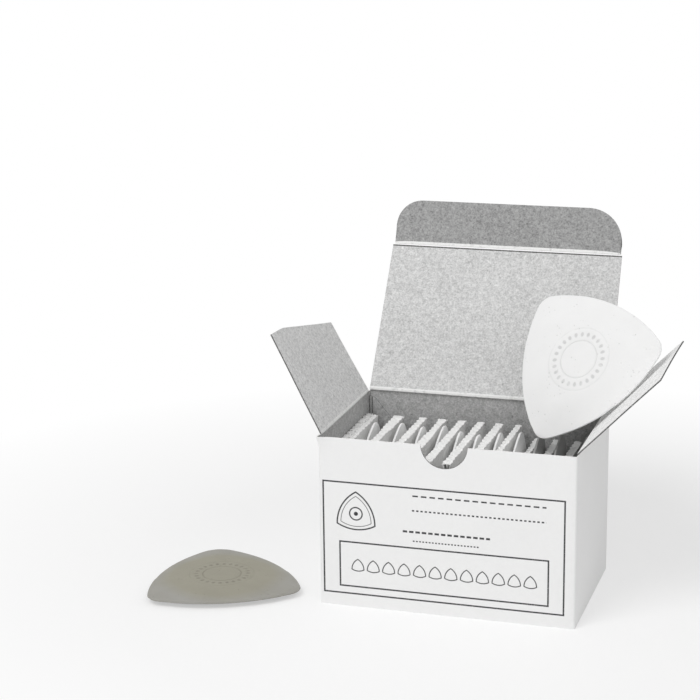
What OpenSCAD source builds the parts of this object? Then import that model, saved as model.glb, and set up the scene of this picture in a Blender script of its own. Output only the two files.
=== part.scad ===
// Tuck-top paperboard carton of triangular tailors chalks.
// Eleven chalks stand on edge between corrugated pads, one is drawn out of the
// carton and leans back, and one lies flat on the surface beside it.
// Millimetres, +Z up, the front of the carton faces -Y, and z = 0 is the surface.

/* [Carton] */
// outside width of the carton, left to right
carton_width = 96; // [94:0.5:104]
// outside depth of the carton, front to back
carton_depth = 64; // [64:0.5:68]
// height of the four walls
carton_height = 65; // [63:0.5:70]
// thickness of the paperboard
board = 0.5; // [0.4:0.05:0.6]
// radius of the thumb notch in the front rim
notch_radius = 8.8; // [6:0.1:10]
// the notch's centre, left of the carton's middle
notch_offset = 0.6; // [0:0.1:3]
// width of the glued strip inside the back wall
glue_width = 12; // [8:0.5:16]

/* [Lid and flaps] */
// how far the stored lid stands open, from closed
lid_open = 124.6; // [110:0.1:135]
// length of the tuck flap beyond the lid's crease
tuck_length = 18.1; // [14:0.1:20]
// corner radius of the tuck flap
tuck_corner = 10; // [6:0.5:12]
// radius of its right corner
tuck_corner_right = 14; // [8:0.5:17]
// how far the lid narrows on its right towards the tuck crease
lid_taper = 1.6; // [0:0.1:2.5]
// how far the stored tuck flap is bent towards the front
tuck_bend = 12; // [5:1:15]
// length of the dust flaps at their longest
flap_length = 40.5; // [34:0.5:42]
// how far the left dust flap stands above level, outwards
left_flap_rise = 61; // [50:1:70]
// how far the right dust flap stands above level, outwards
right_flap_rise = 46; // [40:1:46]
// radius of the rolled crease along the lid's hinge
lid_crease = 0.85; // [0.8:0.01:0.9]
// radius of the rolled crease of the tuck and dust flaps
flap_crease = 0.35; // [0.3:0.01:0.36]

/* [Corrugated pads] */
// thickness of one pad
pad_thickness = 2.2; // [2:0.05:2.3]
// length of the pads, front to back
pad_length = 54; // [50:0.5:55]
// height of the tall pads
pad_height = 55.8; // [52:0.1:56]
// height of the short pads by the right wall
pad_short = 51; // [48:0.1:52]
// number of flutes across a pad
flutes = 15; // [6:1:18]
// thickness of the liners and of the fluted sheet
liner = 0.3; // [0.25:0.01:0.35]

/* [Chalk] */
// width of a chalk across its curved sides
chalk_width = 58; // [55:0.1:58.2]
// thickness of a chalk at its flat middle
chalk_thickness = 4.8; // [4.2:0.1:4.9]
// thickness of the thin edge all round
chalk_edge = 1.2; // [1:0.1:1.6]
// width of the bevel from the flat face to the edge
chalk_bevel = 11; // [8:0.5:12]
// radius of the disc that rounds the three tips
tip_radius = 32.4; // [31.5:0.1:32.6]
// radius of the pressed inner circle
ring_inner = 7.4; // [6:0.1:8]
// radius of the pressed outer circle
ring_outer = 12.4; // [11:0.1:13]
// depth of the pressed circles
ring_depth = 0.25; // [0.15:0.05:0.35]
// how far the standing chalks are rolled towards the back wall
chalk_roll = 12; // [8:1:16]

/* [Drawn and loose chalk] */
// the drawn chalk's middle, in from the right wall's outer face
drawn_in = 8.2; // [8:0.1:8.8]
// the drawn chalk's middle, in from the back wall's outer face
drawn_back = 17.5; // [17:0.1:18]
// the loose chalk's middle, left of the carton
loose_left = 42; // [36:1:60]
// the loose chalk's middle, ahead of the carton's middle
loose_ahead = 25; // [10:1:40]
// how far the loose chalk is turned on the surface
loose_turn = 24; // [0:1:60]

/* [Fits] */
// gap between a chalk and the pad on each side of it
chalk_gap = 0.2; // [0.1:0.05:0.25]
// gap under the standing chalks and pads
stand_gap = 0.15; // [0.1:0.05:0.25]
// gap behind the standing chalks
back_gap = 1.3; // [1.3:0.1:1.8]
// least gap under the drawn chalk's lowest tip
drawn_gap = 2.7; // [2.2:0.1:3.5]
// gap between the drawn chalk's edge and the right dust flap that it leans on
lean_gap = 0.47; // [0.3:0.01:0.6]
// gap between a crease and the wall it folds on
crease_gap = 0.1; // [0.05:0.05:0.15]

/* [Hidden] */
$fn = 96;
inner_w = carton_width - 2 * board;
inner_d = carton_depth - 2 * board;
floor_z = 2 * board;
notch_lift = 0.4;
glue_short = 2;
glue_height = carton_height - floor_z - glue_short;
glue_slope = 0.6;

// the round-sided triangle: each side is an arc about the opposite vertex
corner = chalk_width / sqrt(3);
half_thick = chalk_thickness / 2;
half_edge = chalk_edge / 2;
tip_bevel = 4;
tip_extra = 1;
ring_half = 0.35;

// pads stand at these shares of the spare width, read from left to right
slot = chalk_thickness + 2 * chalk_gap;
pads = 11;
double_gap = 0.02;
double_glue = 0.06;
double_pad = 2 * pad_thickness + double_gap;
wall_gap = 0.3;
first_shift = 0.3;
flute_glue = 0.04;
spare = inner_w - double_pad - 10 * pad_thickness - 11 * slot - wall_gap;
shares = [0.22, 0.22, 0.05, 0.03, 0.005, 0.005, 0.005, 0.005, 0.02, 0.06, 0.38];
function slot_width(i) = slot + shares[i] * spare;
function pad_left(i) = i == 0 ? wall_gap - inner_w / 2
    : pad_left(i - 1) + (i == 1 ? double_pad : pad_thickness) + slot_width(i - 1);
function pad_right(i) = pad_left(i) + (i == 0 ? double_pad : pad_thickness);
function chalk_x(i) = pad_right(i) + slot_width(i) / 2 + (i == 0 ? -first_shift : 0);

// a standing chalk's middle: its back side stands back_gap from the wall
roll_each = [2, 5, 1, 6, -2, -5, 1, 5, 6, 8, 6];
function roll(i) = chalk_roll + roll_each[i];
function stand_y(i) = inner_d / 2 - back_gap - chalk_width + corner * cos(30 - roll(i));
function stand_z(i) = floor_z + stand_gap + chalk_width - corner * cos(roll(i));
tip_z = floor_z + stand_gap + chalk_width - (corner - tip_radius);

// how far the hinged pieces keep inside the walls
flap_short = 1.5;
lid_inset = 0.8;
lid_clear = 0.1;
lid_short = 0.7;
tuck_inset = 0.3;
tuck_short = 0.6;

// hinge lines of the flaps, and the lid above them
flap_axis_x = carton_width / 2 - flap_crease;
flap_axis_z = carton_height + crease_gap + flap_crease;
flap_front = inner_d / 2 - flap_short;
lid_axis_y = carton_depth / 2 - lid_inset;
lid_axis_z = flap_axis_z + board + lid_clear;
lid_half = carton_width / 2 - lid_short;
tuck_axis_y = board / 2 + tuck_inset - inner_d / 2;
lid_length = lid_axis_y - tuck_axis_y;
lid_stop = flap_crease + crease_gap;
tuck_half = lid_half - tuck_short;
tuck_right = tuck_half - lid_taper;

// the dust flaps have a short neck by the crease, then sides that taper
flap_neck = 3;
flap_ease = 0.4;
left_taper = 2.5;
left_bow = 0.6;
left_cut = 0.7556;
left_back = 1.8;
right_taper = 2;
right_skew = 0.2;
right_back = 3;

// a direction of the drawn chalk, turned with it about X, then Y, then Z
function turn_x(v, a) = [v.x, v.y * cos(a) - v.z * sin(a), v.y * sin(a) + v.z * cos(a)];
function turn_y(v, a) = [v.x * cos(a) + v.z * sin(a), v.y, v.z * cos(a) - v.x * sin(a)];
function turn_z(v, a) = [v.x * cos(a) - v.y * sin(a), v.x * sin(a) + v.y * cos(a), v.z];
function turned(v, a) = turn_z(turn_y(turn_x(v, a.x), a.y), a.z);

// the drawn chalk leans back and to the right: its lower side rests on the open
// dust flap, and where the standing tips are in its way it lies higher up the flap
drawn_turn = [44.9, -38.75, 10.22];
drawn_drop = 0.82;
drawn_y = carton_depth / 2 - drawn_back;
flap_out = [sin(right_flap_rise), 0, -cos(right_flap_rise)];
lean_up = flap_out * turned([0, 1, 0], drawn_turn);
lean_face = flap_out * turned([0, 0, 1], drawn_turn);
lean_reach = corner * lean_up + chalk_width * sqrt(1 - lean_face * lean_face)
    + half_edge * abs(lean_face);
lean_x = carton_width / 2 - drawn_in;
lean_z = flap_axis_z + ((lean_x - flap_axis_x) * sin(right_flap_rise)
    + lean_reach + board / 2 + lean_gap) / cos(right_flap_rise);
clear_z = tip_z + drawn_gap + drawn_drop * tip_radius;
drawn_rise = max(0, clear_z - lean_z);
drawn_x = lean_x + drawn_rise / tan(right_flap_rise);
drawn_z = lean_z + drawn_rise;

white_board = [0.93, 0.93, 0.92];
grey_board = [0.66, 0.66, 0.65];
kraft_white = [0.88, 0.87, 0.84];
chalk_white = [0.92, 0.92, 0.9];
chalk_grey = [0.62, 0.605, 0.55];

// the node names; node picks one, and "all" shows the whole part

// one of the three side-forming discs, flat in the middle and bevelled to the edge
module side_disc() {
    rotate_extrude()
        polygon([
            [0, -half_thick],
            [chalk_width - chalk_bevel, -half_thick],
            [chalk_width, -half_edge],
            [chalk_width, half_edge],
            [chalk_width - chalk_bevel, half_thick],
            [0, half_thick]
        ]);
}

// the disc that rounds the three tips
module tip_disc() {
    rotate_extrude()
        polygon([
            [0, -half_thick - tip_extra],
            [tip_radius - tip_bevel, -half_thick - tip_extra],
            [tip_radius, -half_edge * 0.8],
            [tip_radius, half_edge * 0.8],
            [tip_radius - tip_bevel, half_thick + tip_extra],
            [0, half_thick + tip_extra]
        ]);
}

// the pressed circles, on both faces
module rings() {
    for (r = [ring_inner, ring_outer])
        for (s = [-1, 1])
            translate([0, 0, s * half_thick])
                rotate_extrude()
                    polygon([
                        [r - ring_half, 0],
                        [r, -ring_depth],
                        [r + ring_half, 0],
                        [r, ring_depth]
                    ]);
}

// a chalk: round-sided triangle about its middle, one tip towards +Y, face along Z
module chalk() {
    difference() {
        intersection() {
            translate([0, corner, 0]) side_disc();
            translate([-corner * cos(30), -corner * sin(30), 0]) side_disc();
            translate([corner * cos(30), -corner * sin(30), 0]) side_disc();
            tip_disc();
        }
        rings();
    }
}

module standing_chalk(i) {
    color(i < 8 ? chalk_white : [0.7, 0.7, 0.69])
        translate([chalk_x(i), stand_y(i), stand_z(i)])
            rotate([-roll(i), 0, 0])
                rotate([90, 0, 90])
                    chalk();
}

// the fluted sheet between a pad's two liners, seen from above
module flute_2d() {
    core = pad_thickness - 2 * liner;
    swing = core / 2 - liner / 2 + flute_glue;
    steps = flutes * 6;
    pitch = pad_length / steps;
    translate([pad_thickness / 2, -pad_length / 2])
        polygon(concat(
            [for (k = [0:steps]) [swing * sin(60 * k + 30) - liner / 2, k * pitch]],
            [for (k = [steps:-1:0]) [swing * sin(60 * k + 30) + liner / 2, k * pitch]]
        ));
}

// one corrugated board: two liners with the fluted sheet glued between them
module fluted_board(tall) {
    for (x = [0, pad_thickness - liner])
        translate([x, -pad_length / 2, 0]) cube([liner, pad_length, tall]);
    linear_extrude(height = tall) flute_2d();
}

module pad(i) {
    tall = i < 8 ? pad_height : pad_short;
    color(kraft_white)
        translate([pad_left(i), 0, floor_z + stand_gap])
            union() {
                fluted_board(tall);
                if (i == 0)
                    translate([pad_thickness + double_gap - double_glue, 0, 0]) fluted_board(tall);
            }
}

module front_panel() {
    color(white_board)
        difference() {
            translate([-carton_width / 2, -carton_depth / 2, 0])
                cube([carton_width, board, carton_height]);
            translate([-notch_offset, 0, carton_height + notch_lift])
                rotate([90, 0, 0])
                    cylinder(r = notch_radius, h = carton_depth);
        }
}

module back_panel() {
    color(white_board)
        translate([-carton_width / 2, inner_d / 2, 0])
            cube([carton_width, board, carton_height]);
}

module left_panel() {
    color(white_board)
        translate([-carton_width / 2, -inner_d / 2, 0])
            cube([board, inner_d, carton_height]);
}

module right_panel() {
    color(white_board)
        translate([inner_w / 2, -inner_d / 2, 0])
            cube([board, inner_d, carton_height]);
}

module glue_flap() {
    color(grey_board)
        translate([-inner_w / 2, inner_d / 2, floor_z])
            rotate([90, 0, 0])
                linear_extrude(height = board)
                    polygon([
                        [0, 0],
                        [glue_width, glue_width],
                        [glue_width, glue_height - glue_width],
                        [glue_width / 5, glue_height - glue_slope],
                        [0, glue_height]
                    ]);
}

module bottom_panel() {
    color(white_board)
        translate([-inner_w / 2, -inner_d / 2, 0])
            cube([inner_w, inner_d, board]);
}

module bottom_flap_left() {
    color(grey_board)
        translate([-inner_w / 2, -inner_d / 2, board])
            cube([inner_w / 2 - 0.2, inner_d, board]);
}

module bottom_flap_right() {
    color(grey_board)
        translate([0.2, -inner_d / 2, board])
            cube([inner_w / 2 - 0.2, inner_d, board]);
}

// the lid, drawn closed and then opened about its crease
module open_lid() {
    translate([0, lid_axis_y, lid_axis_z])
        rotate([-lid_open, 0, 0])
            children();
}

module lid_panel() {
    color(white_board)
        open_lid()
            union() {
                translate([0, 0, -board / 2])
                    linear_extrude(height = board)
                        polygon([
                            [-lid_half, 0],
                            [-lid_half, lid_stop - lid_length],
                            [lid_half - lid_taper, lid_stop - lid_length],
                            [lid_half, 0]
                        ]);
                translate([-lid_half, 0, 0])
                    rotate([0, 90, 0])
                        cylinder(r = lid_crease, h = 2 * lid_half, $fn = 48);
            }
}

// the tuck flap's outline, from its crease outwards along -Y
module tuck_2d() {
    left = tuck_corner - tuck_half;
    right = tuck_right - tuck_corner_right;
    translate([left, -tuck_length]) square([right - left, tuck_length]);
    translate([-tuck_half, tuck_corner - tuck_length])
        square([tuck_corner + 1, tuck_length - tuck_corner]);
    translate([left, tuck_corner - tuck_length]) circle(r = tuck_corner);
    translate([right - 1, tuck_corner_right - tuck_length])
        square([tuck_corner_right + 1, tuck_length - tuck_corner_right]);
    translate([right, tuck_corner_right - tuck_length]) circle(r = tuck_corner_right);
}

module tuck_flap() {
    color(white_board)
        open_lid()
            translate([0, -lid_length, 0])
                rotate([tuck_bend, 0, 0])
                    union() {
                        translate([0, 0, -board / 2])
                            linear_extrude(height = board)
                                intersection() {
                                    tuck_2d();
                                    translate([-tuck_half, -tuck_length])
                                        square([tuck_half + tuck_right, tuck_length]);
                                }
                        translate([-tuck_half, 0, 0])
                            rotate([0, 90, 0])
                                cylinder(r = flap_crease, h = tuck_half + tuck_right, $fn = 48);
                    }
}

// the left dust flap lies level about its crease, running outwards along -X
module left_flap_2d() {
    polygon([
        [0, -flap_front],
        [-flap_neck, flap_ease - flap_front],
        [-flap_length, left_taper - flap_front],
        [left_bow - flap_length, -flap_front / 2],
        [-left_cut * flap_length, flap_front - left_back],
        [-flap_neck, flap_front - flap_ease],
        [0, flap_front]
    ]);
}

module right_flap_2d() {
    polygon([
        [0, -flap_front],
        [flap_neck, flap_ease - flap_front],
        [flap_length - right_skew, right_taper - flap_front],
        [flap_length, flap_front - right_back],
        [flap_neck, flap_front - flap_ease],
        [0, flap_front]
    ]);
}

module left_dust_flap() {
    color(white_board)
        translate([-flap_axis_x, 0, flap_axis_z])
            rotate([0, left_flap_rise, 0]) {
                translate([0, 0, -board / 2])
                    linear_extrude(height = board) left_flap_2d();
                translate([0, -flap_front, 0])
                    rotate([-90, 0, 0])
                        cylinder(r = flap_crease, h = 2 * flap_front, $fn = 48);
            }
}

module right_dust_flap() {
    color(white_board)
        translate([flap_axis_x, 0, flap_axis_z])
            rotate([0, -right_flap_rise, 0]) {
                translate([0, 0, -board / 2])
                    linear_extrude(height = board) right_flap_2d();
                translate([0, -flap_front, 0])
                    rotate([-90, 0, 0])
                        cylinder(r = flap_crease, h = 2 * flap_front, $fn = 48);
            }
}

module pad_1() { pad(0); }
module pad_2() { pad(1); }
module pad_3() { pad(2); }
module pad_4() { pad(3); }
module pad_5() { pad(4); }
module pad_6() { pad(5); }
module pad_7() { pad(6); }
module pad_8() { pad(7); }
module pad_9() { pad(8); }
module pad_10() { pad(9); }
module pad_11() { pad(10); }

module chalk_1() { standing_chalk(0); }
module chalk_2() { standing_chalk(1); }
module chalk_3() { standing_chalk(2); }
module chalk_4() { standing_chalk(3); }
module chalk_5() { standing_chalk(4); }
module chalk_6() { standing_chalk(5); }
module chalk_7() { standing_chalk(6); }
module chalk_8() { standing_chalk(7); }
module chalk_9() { standing_chalk(8); }
module chalk_10() { standing_chalk(9); }
module chalk_11() { standing_chalk(10); }

module drawn_chalk() {
    color(chalk_white)
        translate([drawn_x, drawn_y, drawn_z])
            rotate(drawn_turn)
                chalk();
}

module loose_chalk() {
    color(chalk_grey)
        translate([-carton_width / 2 - loose_left, -loose_ahead, half_thick])
            rotate([0, 0, loose_turn])
                chalk();
}

front_panel();
back_panel();
left_panel();
right_panel();
glue_flap();
bottom_panel();
bottom_flap_left();
bottom_flap_right();
lid_panel();
tuck_flap();
left_dust_flap();
right_dust_flap();
pad_1();
pad_2();
pad_3();
pad_4();
pad_5();
pad_6();
pad_7();
pad_8();
pad_9();
pad_10();
pad_11();
chalk_1();
chalk_2();
chalk_3();
chalk_4();
chalk_5();
chalk_6();
chalk_7();
chalk_8();
chalk_9();
chalk_10();
chalk_11();
drawn_chalk();
loose_chalk();
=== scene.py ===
"""A carton of tailors chalk, opened, with corrugated pads between the chalks, one chalk drawn out
and one loose on the table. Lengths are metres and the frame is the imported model's."""

import math

import bpy
import numpy as np
from bpy.props import FloatProperty, FloatVectorProperty, IntProperty, PointerProperty
from bpy.types import Operator, Panel, PropertyGroup
from mathutils import Matrix, Vector


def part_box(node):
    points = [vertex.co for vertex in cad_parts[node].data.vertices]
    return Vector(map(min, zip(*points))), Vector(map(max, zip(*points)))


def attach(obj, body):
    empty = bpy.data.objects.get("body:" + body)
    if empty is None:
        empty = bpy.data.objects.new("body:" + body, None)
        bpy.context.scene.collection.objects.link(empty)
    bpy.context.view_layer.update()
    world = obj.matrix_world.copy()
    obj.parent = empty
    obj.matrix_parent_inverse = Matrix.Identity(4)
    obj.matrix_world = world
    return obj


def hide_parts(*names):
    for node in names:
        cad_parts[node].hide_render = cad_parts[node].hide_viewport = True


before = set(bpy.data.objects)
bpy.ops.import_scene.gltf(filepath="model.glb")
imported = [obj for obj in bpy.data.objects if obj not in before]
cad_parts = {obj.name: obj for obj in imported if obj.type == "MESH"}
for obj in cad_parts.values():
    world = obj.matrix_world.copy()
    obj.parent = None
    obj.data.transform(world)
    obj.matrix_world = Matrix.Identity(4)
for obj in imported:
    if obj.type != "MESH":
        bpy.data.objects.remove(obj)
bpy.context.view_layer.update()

bl_info = {
    "name": "Tailors Chalk Carton",
    "version": (1, 0, 0),
    "blender": (4, 5, 0),
    "location": "View3D > Sidebar > Chalk Carton",
    "description": "Builds the looks of a carton of tailors chalk around its packed model",
    "category": "Add Mesh",
}

MM = 0.001

FRONT_LOW, FRONT_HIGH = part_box("front_panel")
BACK_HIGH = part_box("back_panel")[1]
GLUE_LOW, GLUE_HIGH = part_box("glue_flap")
DRAWN_LOW, DRAWN_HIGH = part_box("drawn_chalk")
PADS = [f"pad_{i}" for i in range(1, 12)]
CHALKS = [f"chalk_{i}" for i in range(1, 12)]
# the label in millimetres on the front: left, right, low, high of its frames; left, right,
# height, pitch, dash and weight of its rows of stitches; and the outlined chalk's middle
LABEL_FRAMES = ((-46.4, 43.8, 5, 48.2), (-40.2, 38.1, 7.9, 25.2))
LABEL_STITCHES = ((-12.9, 37.1, 45.2, 3.2, 2.1, 0.6), (-12.9, 37.1, 39.6, 1.6, 0.9, 0.6),
                  (-16.4, 16.6, 31.4, 2.4, 1.7, 0.8), (-12.5, 12.5, 27.9, 1.2, 0.7, 0.5))
LABEL_CHALK = (-33.9 * MM, 36.4 * MM)
# how far the curl at the front's left corner reaches along the front and the side, and out
CORNER_CURL = (2.5 * MM, 2 * MM, 1.1 * MM)
# the lid's sheet starts this far before its crease and ends this far before the tuck flap's
LID_START, LID_END = 0.6 * MM, 0.7 * MM
# swell beside the creases of the lid, the tuck flap and the dust flaps, in crease radii
LID_SWELL, TUCK_SWELL, DUST_SWELL = 3.2, 1.6, 0.4
# outer edges of the dust flaps: share of the root, out and along in millimetres
LEFT_EDGE = ((0.0, 40.5, -27.5), (0.25, 39.9, -15.0), (1.0, 30.6, 28.2))
RIGHT_EDGE = ((0.0, 40.1, -28.0), (1.0, 40.2, 27.0))
# each pad's splay, and each standing chalk's own roll in degrees
PAD_SPLAYS = (1.2, 1.8, 0.9, 1.3, 1.7, 1.3, 1.2, 0.3, 0.2, 0.8, 0.8)
CHALK_ROLLS = (2, 5, 1, 6, -2, -5, 1, 5, 6, 8, 6)
FIRST_GREY = 8
# degrees about Z, Y and X, from the chalk lying flat with one tip towards +Y
DRAWN_TURNS = (10.22, -38.75, 44.9)
LOOSE_PLACE, LOOSE_TURN = (-90 * MM, -25 * MM), 24
BEADS = 24
# parts of the walls; a sheet of board has its two faces the other way round
# the creased part is a painted highlight along the folds and the walls' upper edges
# the cut part also gives painted shadow lines and rows
OUTER, INNER, CUT_AND_SHADOW, CREASE_HIGHLIGHT = 0, 1, 2, 3
# the UV map holds a chalk's own place in decimetres, with its middle here
DECIMETRES, UV_MIDDLE = 10.0, 0.5
# heights over which the flutes' painted shade turns light, at the tall and at the short pads
TALL_CUT, SHORT_CUT, SHORT_END = 55.6 * MM, 50.8 * MM, 53 * MM
# distance from the origin at which the floor turns white, and over how much
WHITE_FROM, WHITE_OVER = 0.21, 0.16
LAMP_SIZE, LAMP_TARGET = 0.5, (0, 0, 0.05)
KEY_PLACE, FILL_PLACE = (-0.3, -0.6, 0.85), (0.45, -0.5, 0.8)


# Sizes and colours.

def length(name, description, default, low=0.0):
    """A length property in metres."""
    return FloatProperty(name=name, description=description, default=default, min=low,
                         unit="LENGTH", precision=5)


def factor(name, description, default):
    """A plain number."""
    return FloatProperty(name=name, description=description, default=default, min=0.0)


def angle(name, description, degrees):
    """An angle property."""
    return FloatProperty(name=name, description=description, default=math.radians(degrees),
                         subtype="ANGLE")


def tint(name, description, default):
    """A linear colour property."""
    return FloatVectorProperty(name=name, description=description, default=default, size=3,
                               subtype="COLOR", min=0.0, max=1.0)


class CartonSizes(PropertyGroup):
    """Sizes of the folded carton."""
    width: length("Width", "Outside, left to right", FRONT_HIGH.x - FRONT_LOW.x)
    depth: length("Depth", "Outside, front to back", BACK_HIGH.y - FRONT_LOW.y)
    height: length("Height", "Of the walls", FRONT_HIGH.z)
    board: length("Board", "Thickness of the board", 0.5 * MM)
    corner: length("Corner", "Outer radius of the upright creases", 0.9 * MM)
    wall_bow: length("Wall bow", "How far a wall bulges in its middle", 0.35 * MM)
    back_rise: length("Back rise", "Back wall over the others, at the crease", 0.35 * MM)
    notch_radius: length("Notch radius", "Of the thumb notch", 8.8 * MM)
    notch_left: length("Notch offset", "Its middle, left of the front's middle", 0.6 * MM)
    notch_over: length("Notch rise", "Its middle, over the front's edge", 0.4 * MM)


class FlapSizes(PropertyGroup):
    """Sizes of the lid, its tuck flap and the two dust flaps."""
    lid_open: angle("Lid angle", "From closed", 124.6)
    lid_axis_y: length("Lid crease, back", "Place of the lid's crease", 31.2 * MM)
    lid_axis_z: length("Lid crease, up", "Place of the lid's crease", 66.05 * MM)
    lid_half: length("Lid half width", "Half of the lid's width", 47.2 * MM)
    lid_length: length("Lid length", "Crease to crease", 62.15 * MM)
    lid_taper: length("Lid taper", "How far its right side is drawn in", 1.6 * MM)
    lid_bow: length("Lid bow", "How far the open lid curls", 0.15 * MM)
    tuck_length: length("Tuck length", "Crease to edge", 17.95 * MM)
    tuck_corner: length("Tuck corner", "Radius of its left corner", 10 * MM)
    tuck_right: length("Right tuck corner", "Radius of its right corner", 14 * MM)
    tuck_bend: angle("Tuck angle", "Against the lid", 12)
    flap_axis_x: length("Flap crease, out", "From the carton's middle", 47.65 * MM)
    flap_axis_z: length("Flap crease, up", "Place of the dust flaps' creases", 65.45 * MM)
    flap_half: length("Flap root", "Half of a dust flap's root", 30 * MM)
    left_rise: angle("Left flap", "Angle over the level", 61)
    right_rise: angle("Right flap", "Angle over the level", 46)
    flap_bow: length("Flap bow", "How far a dust flap curls", 0.25 * MM)
    crease: length("Crease", "Radius of a pressed crease", 0.35 * MM)
    # the dark row before the tuck flap is painted shadow under its crease
    score: length("Score", "Width of the dark score before the tuck flap", 0.6 * MM)


class PadSizes(PropertyGroup):
    """Sizes of the corrugated pads."""
    thickness: length("Thickness", "Of one pad", 2.2 * MM)
    liner: length("Liner", "Thickness of the two faces", 0.3 * MM)
    flute: length("Flute paper", "Thickness of the wavy sheet", 0.24 * MM)
    flutes: IntProperty(name="Flutes", description="Waves along a pad", default=15, min=4)
    washboard: length("Washboard", "How far the faces follow the waves", 0.26 * MM)
    depth: length("Depth", "Front to back", 54 * MM)
    foot: length("Foot", "Bottom of a pad", 1.15 * MM)
    splay: length("Splay", "How far down the cut top edge is splayed", 4 * MM)
    flare: length("Flare", "How far the cut top edge is splayed", 0.42 * MM)
    crush: length("Crush", "How far the cut top edge is uneven", 0.2 * MM)
    mash: length("Mash", "How deep an open flute is at the cut", 1.6 * MM)


class ChalkSizes(PropertyGroup):
    """Sizes of a chalk: a triangle whose sides are arcs about the opposite corners."""
    width: length("Width", "Across, and the radius of the sides", 58 * MM)
    thickness: length("Thickness", "In the middle", 4.8 * MM)
    edge: length("Edge", "Thickness at the rim", 0.8 * MM)
    bevel: length("Bevel", "Width of the sloped border", 13 * MM)
    tip_radius: length("Tip", "Middle to tip", 32.4 * MM)
    tip_bevel: length("Tip bevel", "Width of the slope at a tip", 8 * MM)
    ring_inner: length("Inner ring", "Radius of the pressed ring", 7.4 * MM)
    ring_outer: length("Outer ring", "Radius of the faint ring", 12.4 * MM)
    ring_depth: length("Ring depth", "Of the pressed ring", 0.25 * MM)
    floor_gap: length("Foot", "Bottom of the standing chalks", 1.15 * MM)
    back_gap: length("Back gap", "Between a chalk and the back wall", 1.3 * MM)
    roll: angle("Roll", "How far a chalk is rolled back", 12)
    cut_tip: length("Cut tip", "Middle of the loose chalk to its flat tip", 30.9 * MM)


class Finishes(PropertyGroup):
    """Colours of the board, the pads and the chalks."""
    outside: tint("Outside", "Coated face of the board", (0.9, 0.9, 0.897))
    inside: tint("Inside", "Grey face of the board", (0.65, 0.65, 0.647))
    # grey face tones against the lid: painted shade on walls and tuck, painted light on dust
    # flaps
    wall_tone: factor("Wall tone", "Grey face of the walls against the lid", 0.72)
    tuck_tone: factor("Tuck tone", "Grey face of the tuck flap against the lid", 0.55)
    left_tone: factor("Left flap tone", "Grey face of the left flap against the lid", 1.12)
    right_tone: factor("Right flap tone", "Grey face of the right flap against the lid", 1.42)
    cut: tint("Cut edge", "Edge of the board", (0.12, 0.12, 0.118))
    # painted highlight along the folds and the walls' upper edges
    crease: tint("Crease", "Board where it is folded", (0.92, 0.92, 0.91))
    ink: tint("Ink", "Printed lines", (0.035, 0.035, 0.038))
    liner: tint("Pad", "Faces of the pads", (0.93, 0.928, 0.92))
    # painted shade down in the flutes
    hollow: tint("Flute shade", "Inside the flutes", (0.2, 0.195, 0.185))
    white: tint("White chalk", "The drawn chalk", (0.91, 0.91, 0.907))
    stood: tint("Standing chalk", "Chalks between the pads", (0.9, 0.9, 0.897))
    grey: tint("Grey chalk", "The last three chalks", (0.36, 0.36, 0.357))
    olive: tint("Olive chalk", "The loose chalk", (0.36, 0.345, 0.285))
    olive_border: tint("Olive border", "Its worn slopes", (0.39, 0.385, 0.37))


class StageSizes(PropertyGroup):
    """Floor, lamps and camera."""
    floor: length("Floor", "Half of the floor's side", 3.0)
    floor_tint: tint("Floor", "Pale floor", (0.97, 0.97, 0.97))
    near_white: factor("White share", "How far the floor near the carton turns white", 0.45)
    camera_place: FloatVectorProperty(name="Camera", description="Place of the camera", size=3,
                                      default=(0.1721, -0.6919, 0.2808), subtype="XYZ")
    turn: angle("Turn", "Camera's turn about the upright", 17.455)
    dip: angle("Dip", "How far the camera looks down", 14.769)
    roll: angle("Roll", "Camera's roll", -0.712)
    lens: factor("Lens", "In millimetres, on a 36 mm sensor", 102.42)
    key: factor("Key lamp", "Watts", 4.1)
    fill: factor("Fill lamp", "Watts", 0.75)
    sky: factor("Sky", "Strength of the even light", 0.53)


# Materials.

class Signal:
    """A node's output. Python's operators on it add Math nodes."""

    def __init__(self, finish, socket):
        self.finish, self.socket = finish, socket

    def math(self, operation, *others, swap=False):
        first = [self, *others] if not swap else [*others, self]
        return self.finish.add("ShaderNodeMath", {"operation": operation},
                               dict(enumerate(first)))

    def __add__(self, other): return self.math("ADD", other)
    __radd__ = __add__
    def __sub__(self, other): return self.math("SUBTRACT", other)
    def __rsub__(self, other): return self.math("SUBTRACT", other, swap=True)
    def __mul__(self, other): return self.math("MULTIPLY", other)
    __rmul__ = __mul__
    def __truediv__(self, other): return self.math("DIVIDE", other)
    def __rtruediv__(self, other): return self.math("DIVIDE", other, swap=True)
    def __abs__(self): return self.math("ABSOLUTE")
    def __mod__(self, other): return self.math("FLOORED_MODULO", other)
    def low(self, other): return self.math("MINIMUM", other)
    def high(self, other): return self.math("MAXIMUM", other)
    def root(self): return self.math("SQRT")
    def clamped(self): return self.high(0.0).low(1.0)

    def step(self, edge, soft):
        """0 below edge, 1 above it, over a width of soft."""
        return ((self - edge) / soft + 0.5).clamped()

    def line(self, width, soft):
        """1 where the value is within half of width of 0."""
        return 1.0 - abs(self).step(width / 2, soft)


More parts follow.
